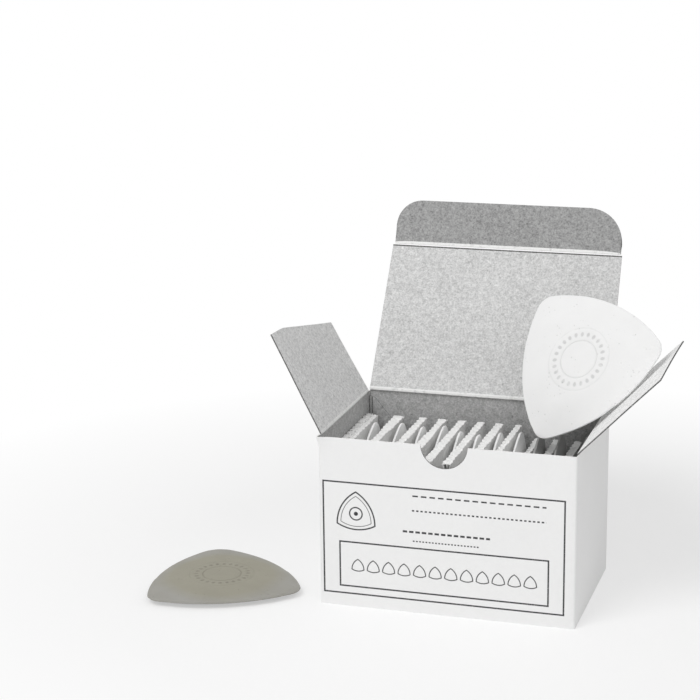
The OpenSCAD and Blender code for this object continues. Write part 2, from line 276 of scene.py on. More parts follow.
class Finish:
    """A new material, or the nodes of a world; add() makes every node."""

    def __init__(self, name="", world=None):
        self.owner = world or bpy.data.materials.new(name)
        self.owner.use_nodes = True
        self.tree = self.owner.node_tree
        self.tree.nodes.clear()

    def add(self, kind, settings=None, sockets=None, out=0):
        """A node of that kind: settings first, then values or links of its sockets."""
        node = self.tree.nodes.new(kind)
        for key, value in (settings or {}).items():
            setattr(node, key, value)
        for key, value in (sockets or {}).items():
            if isinstance(value, Signal):
                self.tree.links.new(value.socket, node.inputs[key])
            else:
                node.inputs[key].default_value = value
        return Signal(self, node.outputs[out]) if node.outputs else None

    def others(self, signal, names):
        """More outputs of the node that a signal comes from."""
        return [Signal(self, signal.socket.node.outputs[name]) for name in names]

    def place(self, kind="Object"):
        return self.add("ShaderNodeTexCoord", out=kind)

    def split(self, vector):
        return self.others(self.add("ShaderNodeSeparateXYZ", {}, {0: vector}), "XYZ")

    def seen(self):
        """1 for what the camera sees, straight or in a glossy or clear surface."""
        camera = self.add("ShaderNodeLightPath", out="Is Camera Ray")
        glossy, clear = self.others(camera, ("Is Glossy Ray", "Is Transmission Ray"))
        return camera.high(glossy).high(clear)

    def noise(self, place, scale, detail=3.0, rough=0.6, stretch=None):
        """Noise from 0 to 1 with that many cells a metre, drawn out by stretch."""
        if stretch:
            place = self.add("ShaderNodeMapping", {}, {"Vector": place, "Scale": stretch})
        return self.add("ShaderNodeTexNoise", {}, {
            "Vector": place, "Scale": scale, "Detail": detail, "Roughness": rough})

    def mix(self, amount, first, second):
        """Two colours mixed by an amount."""
        first, second = (c if isinstance(c, Signal) else (*c, 1.0) for c in (first, second))
        return self.add("ShaderNodeMix", {"data_type": "RGBA"},
                        {0: amount, 6: first, 7: second}, out=2)

    def shade(self, colour, amount):
        """A colour made darker or lighter by an amount near 1."""
        colour = colour if isinstance(colour, Signal) else tuple(colour)
        return self.add("ShaderNodeVectorMath", {"operation": "SCALE"},
                        {0: colour, "Scale": amount})

    def bump(self, height, distance, strength=1.0):
        return self.add("ShaderNodeBump", {}, {"Height": height, "Distance": distance,
                                               "Strength": strength})

    def surface(self, colour, rough, normal=None, **fixed):
        """Ends the material in one Principled shader; fixed names are plain numbers."""
        sockets = {"Base Color": colour if isinstance(colour, Signal) else (*colour, 1.0),
                   "Roughness": rough}
        if normal is not None:
            sockets["Normal"] = normal
        sockets.update({k.replace("_", " "): v for k, v in fixed.items()})
        self.add("ShaderNodeOutputMaterial", {},
                 {"Surface": self.add("ShaderNodeBsdfPrincipled", {}, sockets)})
        return self.owner


def frame_line(x, z, left, right, low, high, width, soft):
    """Mask of a rectangle's outline: the distance to the box, taken as a line."""
    across = abs(x - (left + right) / 2) - (right - left) / 2
    along = abs(z - (low + high) / 2) - (high - low) / 2
    return across.high(along).line(width, soft)


def triangle_line(x, z, centre, size, width, soft):
    """Mask of a round-sided triangle's outline, tip upwards: the largest distance from its
    three corners less its width is 0 on its sides."""
    corner = size / math.sqrt(3)
    far = None
    for turn in (90, 210, 330):
        cx = centre[0] + corner * math.cos(math.radians(turn))
        cz = centre[1] + corner * math.sin(math.radians(turn))
        reach = ((x - cx) * (x - cx) + (z - cz) * (z - cz)).root()
        far = reach if far is None else far.high(reach)
    return (far - size).line(width, soft)


def repeated(x, left, right, pitch, soft):
    """The place from the middle of each pitch of a row, and the mask of the row's run."""
    run = abs(x - (left + right) / 2) - (right - left) / 2
    return (x - left) % pitch - pitch / 2, 1.0 - run.step(0, soft)


def printed_label(f, place):
    """Mask of the label's ink on the front: two frames, an outlined chalk, sewing lines."""
    x, y, z = f.split(place)
    soft, thin = 0.14 * MM, 0.5 * MM
    outer, inner = (frame_line(x, z, *(side * MM for side in sides), 0.6 * MM, soft)
                    for sides in LABEL_FRAMES)
    ink = outer.high(inner)
    for size, width in ((14.5, 0.55), (11.6, 0.25)):
        ink = ink.high(triangle_line(x, z, LABEL_CHALK, size * MM, width * MM, soft))
    dx, dz = x - LABEL_CHALK[0], z - LABEL_CHALK[1]
    ring = (dx * dx + dz * dz).root()
    ink = ink.high((ring - 2.4 * MM).line(thin, soft))
    ink = ink.high(1.0 - ring.step(0.8 * MM, soft))
    # rows of stitches: a dash where the place within a pitch is near its middle
    for left, right, height, pitch, dash, weight in LABEL_STITCHES:
        within, run = repeated(x, left * MM, right * MM, pitch * MM, soft)
        stitch = within.line(dash * MM, soft) * (z - height * MM).line(weight * MM, soft)
        ink = ink.high(stitch * run)
    # a row of small chalks in the inner frame
    within, run = repeated(x, -36.3 * MM, 34.5 * MM, 5.9 * MM, soft)
    ink = ink.high(triangle_line(within, z, (0, 16 * MM), 4.6 * MM, 0.4 * MM, soft) * run)
    return ink * (1.0 - y.step(FRONT_LOW.y + 0.38 * MM, 0.05 * MM))


def outside_board(colours):
    """Coated white board: faint fibres, ink worn in spots, and the printed label."""
    f = Finish("outside_board")
    place = f.place()
    fibre = f.noise(place, 700, 4, 0.65)
    cloud = f.noise(place, 45, 3, 0.5)
    ink = printed_label(f, place)
    worn = f.noise(place, 2600, 2, 0.7).step(0.36, 0.12)
    tone = 0.955 + 0.05 * fibre + 0.035 * cloud
    colour = f.mix(ink * (0.72 + 0.28 * worn), f.shade(colours.outside, tone), colours.ink)
    normal = f.bump(fibre, 0.03 * MM, 0.5)
    return f.surface(colour, 0.5 + 0.14 * cloud - 0.1 * ink, normal,
                     Specular_IOR_Level=0.35)


def inside_board(name, colours, share):
    """Grey chipboard face: two grains of pulp speckle, long fibres and a few dark flecks."""
    f = Finish(name)
    place = f.place()
    fine = f.noise(place, 1500, 2, 0.7)
    pulp = f.noise(place, 620, 4, 0.75)
    cloud = f.noise(place, 60, 3, 0.5)
    flecks = f.noise(place, 900, 1, 0.5, (1, 1, 2.6)).step(0.7, 0.06)
    grain = fine + pulp - 1.0
    # share tones this copy of the face: lighter and darker copies are painted light and shade
    tone = share * (0.95 + 0.12 * cloud - 0.22 * flecks) + (0.42 + 0.58 * share) * grain
    normal = f.bump(fine + pulp, 0.06 * MM, 0.7)
    return f.surface(f.shade(colours.inside, tone), 0.88 - 0.08 * cloud, normal,
                     Specular_IOR_Level=0.2)


def cut_edge_and_shadow_board(colours):
    """Die-cut edge of the board: dark, fibrous, with lighter torn spots. Also used as painted
    shadow.
    """
    f = Finish("cut_edge_and_shadow_board")
    place = f.place()
    fuzz = f.noise(place, 2200, 3, 0.7)
    colour = f.mix(fuzz.step(0.56, 0.2), colours.cut, [c * 2.6 for c in colours.cut])
    return f.surface(colour, 0.92, f.bump(fuzz, 0.08 * MM, 0.8), Specular_IOR_Level=0.1)


def crease_highlight_board(colours):
    """Board along a fold: pale as a painted highlight, with cracks in the coat."""
    f = Finish("crease_highlight_board")
    place = f.place()
    pulp = f.noise(place, 1800, 3, 0.7)
    crack = f.noise(place, 500, 2, 0.6).step(0.6, 0.15)
    return f.surface(f.shade(colours.crease, 0.86 + 0.24 * pulp - 0.16 * crack), 0.8,
                     f.bump(pulp, 0.06 * MM, 0.8), Specular_IOR_Level=0.2)


def pad_paper(colours):
    """White paper of the pads: long fibres down the pad and a soft cloud."""
    f = Finish("pad_paper")
    place = f.place()
    fibre = f.noise(place, 800, 3, 0.7, (1, 1, 0.25))
    cloud = f.noise(place, 150, 2, 0.5)
    tone = 0.84 + 0.16 * fibre + 0.12 * cloud
    return f.surface(f.shade(colours.liner, tone), 0.82 + 0.06 * cloud,
                     f.bump(fibre, 0.06 * MM, 0.7), Specular_IOR_Level=0.2)


def flute_paper(colours):
    """The wavy sheet: the pads' paper, with painted shade down in the flutes below the cut edge.
    """
    f = Finish("flute_paper")
    place = f.place()
    z = f.split(place)[2]
    fibre = f.noise(place, 900, 3, 0.7)
    # painted shade: the paper is dark below the cut edge
    down = z.step(TALL_CUT, 1.6 * MM).high(z.step(SHORT_CUT, 1.6 * MM)
                                           * (1.0 - z.step(SHORT_END, 1.2 * MM)))
    colour = f.mix(down, colours.hollow, f.shade(colours.liner, 0.8 + 0.2 * fibre))
    return f.surface(colour, 0.9, f.bump(fibre, 0.05 * MM, 0.6), Specular_IOR_Level=0.15)


def pressed_chalk(name, colour, sizes, contrast, border=None):
    """Pressed chalk: powder grain, tiny pits, rubbed dust, and a ring of beads between its
    two rings, which read the UV map. border is a second colour for the worn slopes."""
    f = Finish(name)
    place = f.place()
    grain = f.noise(place, 2400, 3, 0.7)
    cloud = f.noise(place, 130, 4, 0.6)
    smear = f.noise(place, 55, 3, 0.55, (1, 1.8, 1))
    pits = f.add("ShaderNodeTexVoronoi", {"feature": "F1"},
                 {"Vector": place, "Scale": 620.0, "Randomness": 1.0})
    pit = (1.0 - pits.step(0.16, 0.1)) * f.noise(place, 210, 2, 0.5).step(0.56, 0.06)
    u, v, _ = f.split(f.place("UV"))
    u, v = u - UV_MIDDLE, v - UV_MIDDLE
    radius = (u * u + v * v).root()
    dm = DECIMETRES
    turn = u.math("ARCTAN2", v) * (BEADS / (2 * math.pi))
    middle = (sizes.ring_inner + sizes.ring_outer) / 2 * dm
    along = ((turn % 1.0) - 0.5) * (2 * math.pi * middle / BEADS)
    across = (radius - middle) * 0.7
    worn = f.noise(place, 330, 2, 0.5).step(0.38, 0.25)
    thin = 0.4 * MM * dm
    bead = 1.0 - (along * along + across * across).root().step(0.6 * MM * dm, thin)
    inner = (radius - sizes.ring_inner * dm).line(thin, thin)
    outer = (radius - sizes.ring_outer * dm).line(thin, thin) * worn
    marks = (inner * 0.6).high(bead * (0.5 + 0.5 * worn)).high(outer * 0.3)
    # the pits and pressed marks are darkened as painted shade in their hollows
    tone = (1.0 - 0.5 * contrast + contrast * (0.3 * grain + 0.35 * cloud + 0.35 * smear)
            - 0.22 * marks - 0.14 * pit)
    height = grain * 0.25 + cloud * 0.5 - pit * 1.2 - marks * 1.6
    if border:
        worn = radius.step((sizes.width / 2 - sizes.bevel * 0.5) * dm, 6 * MM * dm)
        colour = f.mix(worn * (0.4 + 0.6 * smear), colour, border)
    return f.surface(f.shade(colour, tone), 0.86 + 0.1 * cloud, f.bump(height, 0.12 * MM, 0.8),
                     Specular_IOR_Level=0.25, Diffuse_Roughness=0.3)


# Surfaces.

def grid_faces(rows, cols, wrap_rows=False, wrap_cols=False):
    """Quads of a rows by cols grid of vertices, turned towards rows x cols."""
    i = np.arange(rows if wrap_rows else rows - 1)[:, None]
    j = np.arange(cols if wrap_cols else cols - 1)[None, :]
    below, beside = (i + 1) % rows, (j + 1) % cols
    return np.stack([i * cols + j, below * cols + j, below * cols + beside,
                     i * cols + beside], -1).reshape(-1, 4)


def add_piece(name, points, faces, body, replaced, finishes, parts=None, uv=None,
              sharp=35):
    """Puts points and faces into a mesh, with one finish for each number in parts."""
    mesh = bpy.data.meshes.new(name)
    mesh.from_pydata(np.asarray(points).reshape(-1, 3).tolist(), [],
                     [list(face) for face in faces])
    for finish in finishes:
        mesh.materials.append(finish)
    if parts is not None:
        mesh.polygons.foreach_set("material_index", np.asarray(parts, np.int32))
    if uv is not None:
        corners = np.zeros(len(mesh.loops), np.int32)
        mesh.loops.foreach_get("vertex_index", corners)
        layer = mesh.uv_layers.new(name="Face")
        layer.data.foreach_set("uv", uv[corners].astype(np.float32).ravel())
    mesh.shade_smooth()
    mesh.set_sharp_from_angle(angle=math.radians(sharp))
    mesh.update()
    piece = bpy.data.objects.new(name, mesh)
    bpy.context.scene.collection.objects.link(piece)
    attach(piece, body)
    if replaced:
        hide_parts(*replaced)
    return piece


def sheet_parts(middle, thickness):
    """A closed sheet about a middle surface of rows x cols points: each face stands half the
    thickness along the surface's normal, and a ring bulging by a fifth joins them at the rim.
    Returns points, faces and a part for each face: 0 upper, 1 lower, 2 rim."""
    rows, cols = middle.shape[:2]
    normal = np.cross(np.gradient(middle, axis=0), np.gradient(middle, axis=1))
    normal /= np.linalg.norm(normal, axis=-1, keepdims=True)
    half = np.broadcast_to(np.asarray(thickness, float) / 2, (rows, cols))[..., None]
    upper, lower = middle + normal * half, middle - normal * half
    number = np.arange(rows * cols).reshape(rows, cols)
    loop = np.concatenate([number[:-1, 0], number[-1, :-1], number[:0:-1, -1],
                           number[0, :0:-1]])
    rim = middle.reshape(-1, 3)[loop]
    along = np.roll(rim, -1, 0) - np.roll(rim, 1, 0)
    out = np.cross(along, normal.reshape(-1, 3)[loop])
    out /= np.linalg.norm(out, axis=-1, keepdims=True)
    rim = rim + out * half.reshape(-1, 1)[loop] * 0.2
    count = rows * cols
    points = np.concatenate([upper.reshape(-1, 3), lower.reshape(-1, 3), rim])
    quads = grid_faces(rows, cols)
    ring = 2 * count + np.arange(len(loop))
    ahead = np.roll(ring, -1)
    top, top_ahead = loop, np.roll(loop, -1)
    strips = np.concatenate([np.stack([ring, ahead, top_ahead, top], -1),
                             np.stack([count + top, count + top_ahead, ahead, ring], -1)])
    faces = np.concatenate([quads, quads[:, ::-1] + count, strips])
    parts = np.repeat([0, 1, 2], [len(quads), len(quads), len(strips)])
    return points, faces, parts


def joined(pieces):
    """Several (points, faces, parts) as one."""
    starts = np.cumsum([0] + [len(p[0]) for p in pieces[:-1]])
    return (np.concatenate([p[0] for p in pieces]),
            np.concatenate([p[1] + s for p, s in zip(pieces, starts)]),
            np.concatenate([p[2] for p in pieces]))


def ripple(shape, seed, cells, amount):
    """Smooth seeded unevenness on a grid: random knots joined by cosine steps both ways."""
    knots = np.random.default_rng(seed).uniform(-1, 1, (cells[0] + 1, cells[1] + 1))
    for axis, size in enumerate(shape):
        spot = np.linspace(0, cells[axis], size)
        base = np.minimum(spot.astype(int), cells[axis] - 1)
        share = (1 - np.cos((spot - base) * math.pi)) / 2
        share = share.reshape((-1, 1) if axis == 0 else (1, -1))
        knots = (np.take(knots, base, axis) * (1 - share)
                 + np.take(knots, base + 1, axis) * share)
    return knots * amount


def round_ripple(shape, seed, cells, amount):
    """The same along columns that meet again: the mean of a ripple and its mirror image."""
    uneven = ripple(shape, seed, cells, amount)
    return (uneven + uneven[:, ::-1]) / 2


def carton_sleeve(carton):
    """The four walls as one closed ring: a path round a rounded oblong, carrying a profile that
    goes up the outside, over the cut edge and down the inside. The front's upper edge dips
    along the notch's circle, and each wall bulges as a half wave both ways."""
    half_w, half_d, corner = carton.width / 2, carton.depth / 2, carton.corner
    notch_x, reach = -carton.notch_left, carton.notch_radius
    edge_angle = math.acos(carton.notch_over / reach)
    left, right = notch_x - reach * math.sin(edge_angle), notch_x + reach * math.sin(edge_angle)
    sweep = np.linspace(-edge_angle, edge_angle, 41)
    front_x = np.concatenate([np.linspace(corner - half_w, left, 18)[:-1],
                              notch_x + reach * np.sin(sweep),
                              np.linspace(right, half_w - corner, 18)[1:]])
    drop = np.concatenate([np.zeros(17), reach * np.cos(sweep) - carton.notch_over,
                           np.zeros(17)])
    side_y = np.linspace(corner - half_d, half_d - corner, 20)
    back_x = np.linspace(half_w - corner, corner - half_w, 30)
    bend = np.linspace(0, math.pi / 2, 7)[1:-1]

    def straight(x, y, n, dip=0.0):
        """One wall of the path, with its outward normal n."""
        x, y, dip = np.broadcast_arrays(x, y, dip)
        share = np.linspace(0, 1, x.size) if x.size != front_x.size else (
            (x - x[0]) / (x[-1] - x[0]))
        return np.stack([x, y, np.full(x.size, n[0]), np.full(x.size, n[1]),
                         np.sin(share * math.pi), dip])

    def rounded(cx, cy, start):
        """A quarter turn about a crease's middle."""
        c, s = np.cos(start + bend), np.sin(start + bend)
        return np.stack([cx + corner * c, cy + corner * s, c, s, 0 * c, 0 * c])

    inner_w, inner_d = half_w - corner, half_d - corner
    # the front dips at the notch, and the back wall reaches up to the lid's crease
    xs, ys, nx, ny, swell, dips = np.concatenate([
        straight(front_x, -half_d, (0, -1), drop), rounded(inner_w, -inner_d, -math.pi / 2),
        straight(half_w, side_y, (1, 0)), rounded(inner_w, inner_d, 0),
        straight(back_x, half_d, (0, 1), -carton.back_rise),
        rounded(-inner_w, inner_d, math.pi / 2),
        straight(-half_w, side_y[::-1], (-1, 0)), rounded(-inner_w, -inner_d, math.pi)], 1)

    steps = 16
    rise = np.linspace(0, 1, steps)
    lip, board = 0.14 * MM, carton.board
    inset = np.concatenate([np.zeros(steps), [0.24 * board, 0.5 * board, 0.76 * board],
                            np.full(steps, board), [0.5 * board]])
    share = np.concatenate([rise, [1, 1, 1], rise[::-1], [0]])
    lift = np.concatenate([-lip * rise, [-0.25 * lip, 0, -0.25 * lip], -lip * rise[::-1], [0]])
    top = carton.height - dips
    z = share[None, :] * top[:, None] + lift[None, :]
    push = (carton.wall_bow * swell[:, None] * np.sin(z / carton.height * math.pi) * 0.5
            - inset[None, :])
    # the front's left upper corner stands out a little, where the flap's crease pulls it
    along, back_from, out = CORNER_CURL
    curl = np.exp(-((xs + half_w) / along) ** 2 - ((ys + half_d) / back_from) ** 2)
    push = push + out * curl[:, None] * np.clip(z / carton.height * 16 - 15, 0, 1)
    points = np.stack([xs[:, None] + nx[:, None] * push, ys[:, None] + ny[:, None] * push, z], -1)
    faces = grid_faces(xs.size, share.size, True, True)
    segment = np.tile(np.arange(share.size), xs.size)
    dipped = np.repeat(dips > 0.05 * MM, share.size)
    back = np.repeat(ys > half_d - 0.05 * MM, share.size)
    # the cut edge: dark along the notch, grey at the back, a pale painted highlight elsewhere
    rim = np.where(dipped, CUT_AND_SHADOW, np.where(back, INNER, CREASE_HIGHLIGHT))
    parts = np.select([segment < steps - 1, segment < steps + 3, segment < 2 * steps + 2],
                      [OUTER, rim, INNER], CUT_AND_SHADOW)
    return points, faces, parts


def folded_sheet(root, outer, rows, crease, board, bow, seed, last=0.0):
    """A flap as a ruled sheet between its crease line and its outer edge, both (cols, 2) of
    out and along: it curls as a half wave across and along, and swells beside its crease
    by a bell curve. last, where given, is the last row's share of the length. Returns the
    middle surface in (out, along, up) and its thickness."""
    share = np.linspace(0, 1, rows) ** 1.15
    if last:
        share = np.append(np.linspace(0, 1, rows - 1) ** 1.15 * (1 - last), 1)
    flat = root[None] * (1 - share[:, None, None]) + outer[None] * share[:, None, None]
    across = np.linspace(-1, 1, root.shape[0])[None, :]
    rise = bow * (share[:, None] ** 2 + 0.6 * share[:, None] * (across ** 2 - 0.5))
    rise = rise + ripple(rise.shape, seed, (3, 4), bow * 0.35) * share[:, None]
    out = flat[..., 0]
    swell = np.exp(-(out / (0.6 * MM)) ** 2)
    return np.concatenate([flat, rise[..., None]], -1), board + swell * crease * 0.7


def pad_sheets(pads, left, tall, seed, splayed=1.0, open_flutes=0.25):
    """A corrugated board: two liners that follow the flutes a little, and the flute paper
    between them as a sine wave along the pad. Near the cut the liners are splayed outwards,
    and mashed fibres close the flutes: a sheet that dips where a point across the pad is far
    from the sine wave, more or less from flute to flute."""
    flutes, depth = pads.flutes, pads.depth / 2
    along = np.linspace(-depth, depth, flutes * 12 + 1)
    rows = 14
    shape = (rows, along.size)
    up = (1 - (1 - np.linspace(0, 1, rows)) ** 2.6)[:, None]
    splay = np.clip((up * tall - tall + pads.splay) / pads.splay, 0, 1) ** 1.5
    flare = pads.flare * splayed * (1 + ripple((1, along.size), seed + 5, (1, 7), 0.5))
    turn = (along + depth) / (2 * depth) * flutes * 2 * math.pi
    wave = np.sin(turn)[None, :]
    right = pads.thickness - pads.liner / 2
    reach = pads.thickness / 2 - pads.liner - pads.flute / 2 + 0.02 * MM
    sheets = []
    for k, place, swing, out, paper in (
            (0, pads.liner / 2, pads.washboard, -1, pads.liner),
            (1, pads.thickness / 2, reach, 0, pads.flute),
            (2, right, -0.25 * pads.washboard, 1, pads.liner)):
        offset = wave * swing * (1 + (0 if k == 1 else 0.5 * splay))
        offset = offset - (0 if k == 1 else out * abs(swing)) + out * flare * splay
        offset = offset + ripple(shape, seed + k, (3, 6), 0.05 * MM)
        crush = ripple(shape, seed + 7 + k, (1, flutes * 2), pads.crush) - pads.crush
        z = pads.foot + (tall - pads.foot) * up + crush * splay * (2 if k == 1 else 1)
        middle = np.stack([left + place + offset, along[None, :] + np.zeros(shape), z], -1)
        points, faces, parts = sheet_parts(middle[:, ::-1],
                                           np.broadcast_to(paper, shape)[:, ::-1])
        sheets.append((points, faces, np.full(len(faces), int(k == 1))))
    across = np.linspace(-1, 1, 9)[:, None]
    shape = (across.size, along.size)
    hollow = np.clip((np.abs(across - 0.75 * wave) - 0.35) / 0.6, 0, 1)
    kept = np.clip(0.5 + ripple((1, along.size), seed + 13, (1, 2 * flutes), 1.0), 0, 1)
    z = (tall - 0.7 * pads.crush - (0.18 * MM + pads.mash * open_flutes * kept) * hollow
         + ripple(shape, seed + 11, (4, 80), 0.12 * MM))
    half = (pads.thickness - pads.liner) / 2 + flare
    middle = np.stack([left + pads.thickness / 2 + across * half,
                       along[None, :] * 0.997 + np.zeros(shape), z], -1)
    points, faces, parts = sheet_parts(middle, pads.flute)
    sheets.append((points, faces, np.zeros(len(faces), int)))
    return joined(sheets)


def chalk_body(sizes, cut_tip=0.0, seed=0, chips=0.0):
    """A pressed chalk about its middle, one tip towards +Y. Round the middle the rim stands
    where the nearest of three side arcs, the tip circle and a flat cut do, joined by a soft
    least. The height at a point is the soft least of one convex slope for each of those
    edges. The face's grid runs from the middle through the two rings to the rim."""
    corner = sizes.width / math.sqrt(3)
    t = np.linspace(0, 2 * math.pi, 241)[:-1]
    angle = t - 0.6 * np.sin(3 * t) / 3
    ways = np.stack([np.sin(angle), np.cos(angle)], -1)
    corners = corner * np.stack([np.sin(np.radians([0, 120, 240])),
                                 np.cos(np.radians([0, 120, 240]))], -1)
    facing = ways @ corners.T
    arcs = facing + np.sqrt(facing ** 2 - corner ** 2 + sizes.width ** 2)
    limits = [*arcs.T, np.full(angle.size, sizes.tip_radius)]
    if cut_tip:
        limits.append(cut_tip / np.maximum(ways[:, 1], 0.2))
    rim = np.sum([(l / sizes.tip_radius) ** -90.0 for l in limits], 0) ** (-1 / 90)
    rim = rim * sizes.tip_radius
    rim = rim - chips * np.abs(round_ripple((1, angle.size), seed, (1, 50), 1.3)[0]) ** 3

    half, edge = sizes.thickness / 2, sizes.edge / 2
    ring, faint = sizes.ring_inner, sizes.ring_outer
    near = np.array([1.6, 3.4, 5.2, 6.4]) * MM
    dip = np.array([-0.6, -0.3, -0.12, 0, 0.12, 0.3, 0.6]) * MM
    inner = np.concatenate([near, ring + dip, [9 * MM, 10 * MM, 11.1 * MM], faint + dip])
    outer = 1 - (1 - np.linspace(0, 1, 19)[1:]) ** 1.3
    start, stop = inner[-1], (rim - 0.14 * MM)[None, :]
    reach = np.concatenate([inner[:, None] + np.zeros((1, angle.size)),
                            start + outer[:, None] * (stop - start)])
    x, y = reach * ways[:, 0], reach * ways[:, 1]

    def slope(inside, width, low, high, power=1.05):
        """From low at the edge to high at that width inside it, a little convex."""
        share = np.clip(inside / width, 0, 1)
        return low + (high - low) * (1 - (1 - share) ** power)

    sides = [slope(sizes.width - np.hypot(x - c[0], y - c[1]), sizes.bevel, edge, half * 1.06)
             for c in corners]
    sides.append(slope(sizes.tip_radius - reach, sizes.tip_bevel, edge * 0.55, half * 1.4))
    height = np.sum([(s / half) ** -12.0 for s in sides], 0) ** (-1 / 12) * half
    height = np.minimum(height, half)
    for place, deep, wide in ((ring, sizes.ring_depth, 0.22 * MM),
                              (faint, sizes.ring_depth * 0.4, 0.25 * MM)):
        height = height - deep * np.exp(-((reach - place) / wide) ** 2)
    height = height + round_ripple(height.shape, seed + 3, (4, 7), 0.05 * MM) - 0.05 * MM

    cols = angle.size
    face = np.stack([x, y, height], -1)
    band_r = np.stack([rim - 0.05 * MM, rim, rim - 0.05 * MM])
    band_z = np.array([0.6, 0, -0.6])[:, None] * height[-1][None, :]
    band = np.stack([band_r * ways[:, 0], band_r * ways[:, 1], band_z], -1)
    under = face[::-1] * np.array([1, 1, -1])
    top = np.array([[0, 0, height[0].mean()]])
    shell = np.concatenate([face, band, under]).reshape(-1, 3)
    rows = len(shell) // cols
    points = np.concatenate([top, shell, -top])
    quads = grid_faces(rows, cols, wrap_cols=True) + 1
    j = np.arange(cols)
    k = (j + 1) % cols
    last = 1 + (rows - 1) * cols
    fans = (np.stack([np.zeros_like(j), 1 + j, 1 + k], -1),
            np.stack([np.full_like(j, len(points) - 1), last + k, last + j], -1))
    return points, quads, fans


def turned(points, rotation, middle):
    """Points turned by a 3 x 3 matrix about the origin and moved to a middle."""
    return points @ np.asarray(rotation, float).T + np.asarray(middle, float)


def turn_about(axis, degrees):
    return np.array(Matrix.Rotation(math.radians(degrees), 3, axis))


def add_chalk(node, sizes, finish, slot, rotation, middle, **shape):
    """The chalk of one CAD node in its place, with its own place kept in the UV map."""
    points, quads, fans = chalk_body(sizes, **shape)
    uv = points[:, :2] * DECIMETRES + UV_MIDDLE
    faces = [*quads.tolist(), *fans[0].tolist(), *fans[1].tolist()]
    add_piece(f"{node}_body", turned(points, rotation, middle), faces, node, [node],
              [finish], uv=uv, sharp=50)


def finish_named(name, make, *values):
    """The material of that name, made once."""
    return bpy.data.materials.get(name) or make(*values)


def grey_face(colours, name="inside_board", tone=1.0):
    """The board's grey face in one of its tones, which are painted light and shade."""
    return finish_named(name, inside_board, name, colours, tone)


def board_finishes(colours, inner_up=True, name="inside_board", tone=1.0):
    """Finishes of a sheet of board for its upper face, lower face, rim and crease."""
    inner, outer, cut, crease = grey_face(colours, name, tone), *(
        finish_named(make.__name__, make, colours)
        for make in (outside_board, cut_edge_and_shadow_board, crease_highlight_board))
    return [inner, outer, cut, crease] if inner_up else [outer, inner, cut, crease]


def crease_rows(parts, shape, first, painted_shadow_row):
    """Gives the first rows of both faces of a sheet, and the rim before them, to the crease's
    finish, a painted highlight; with a painted shadow row, the last row of the upper face gets
    the dark cut finish as painted shadow and the rim at its end the crease's."""
    rows, cols = shape[0] - 1, shape[1] - 1
    count, around = rows * cols, 2 * (rows + cols)
    parts[:first * cols] = parts[count:count + first * cols] = CREASE_HIGHLIGHT
    if painted_shadow_row:
        parts[count - cols:count] = CUT_AND_SHADOW
    for start in (2 * count, 2 * count + around):
        parts[start + around - cols:start + around] = CREASE_HIGHLIGHT
        if painted_shadow_row:
            parts[start + rows:start + rows + cols] = CREASE_HIGHLIGHT
    return parts


def hung(sheet, rotation, place):
    """A sheet of (out, along, up) that runs out along -Y, turned and moved to its crease."""
    out, along, up = np.moveaxis(sheet, -1, 0)
    return turned(np.stack([along, -out, up], -1), rotation, place)


def add_flap(name, body, node, middle, thick, finishes, first, painted_shadow_row=False):
    """A sheet of board as a piece, its upper face the grey one. first is the number of rows
    in its crease, and painted_shadow_row gives the grey face a dark last row: painted shadow."""
    points, faces, parts = sheet_parts(middle, thick)
    add_piece(name, points, faces, body, [node], finishes,
              crease_rows(parts, middle.shape, first, painted_shadow_row))


# Operators.

class CHALK_OT_walls(Operator):
    """Build the carton's walls and glue flap, and give the base its finishes"""
    bl_idname = "chalk.walls"
    bl_label = "Carton walls"

    def execute(self, context):
        scene = context.scene
        carton, colours = scene.chalk_carton, scene.chalk_finishes
        points, faces, parts = carton_sleeve(carton)
        # the walls' grey face takes a darker tone: painted shade inside the carton
        add_piece("carton_walls", points, faces, "carton",
                  ["front_panel", "back_panel", "left_panel", "right_panel"],
                  board_finishes(colours, False, "wall_inside", colours.wall_tone), parts)
        low, high = GLUE_LOW, GLUE_HIGH
        rows, cols = 24, 24
        out = np.linspace(0, 1, cols)[None, :] ** 1.4
        x = low.x + out * (high.x - low.x) + np.zeros((rows, 1))
        # its upper edge falls steeply beside the crease, its lower edge rises
        top = high.z - np.interp(out, [0, 0.2, 1], [0, 0.6 * MM, high.x - low.x])
        foot = low.z + out * (high.x - low.x)
        z = foot + np.linspace(0, 1, rows)[:, None] * (top - foot)
        y = (low.y + high.y) / 2 - 0.12 * MM + ripple((rows, cols), 5, (3, 2), 0.08 * MM)
        y = y - 0.3 * MM * np.exp(-((x - low.x - 0.8 * MM) / (0.4 * MM)) ** 2)
        points, faces, parts = sheet_parts(np.stack([x, y, z], -1), carton.board)
        # both faces are the walls' painted shade grey, the cut edge the tuck's darker painted
        # shade, and two dark lines of painted shadow run down beside the crease
        for start in (0, (rows - 1) * (cols - 1)):
            face = parts[start:start + (rows - 1) * (cols - 1)].reshape(rows - 1, -1)
            face[:] = 0
            face[:, [0, 1, 4]] = 1
        add_piece("glue_flap_board", points, faces, "carton", ["glue_flap"],
                  [grey_face(colours, "wall_inside", colours.wall_tone),
                   finish_named("cut_edge_and_shadow_board", cut_edge_and_shadow_board, colours),
                   grey_face(colours, "tuck_inside", colours.tuck_tone)], parts)
        for node, number in (("bottom_panel", 1), ("bottom_flap_left", 0),
                             ("bottom_flap_right", 0)):
            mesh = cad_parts[node].data
            mesh.materials.clear()
            mesh.materials.append(board_finishes(colours)[number])
        return {"FINISHED"}


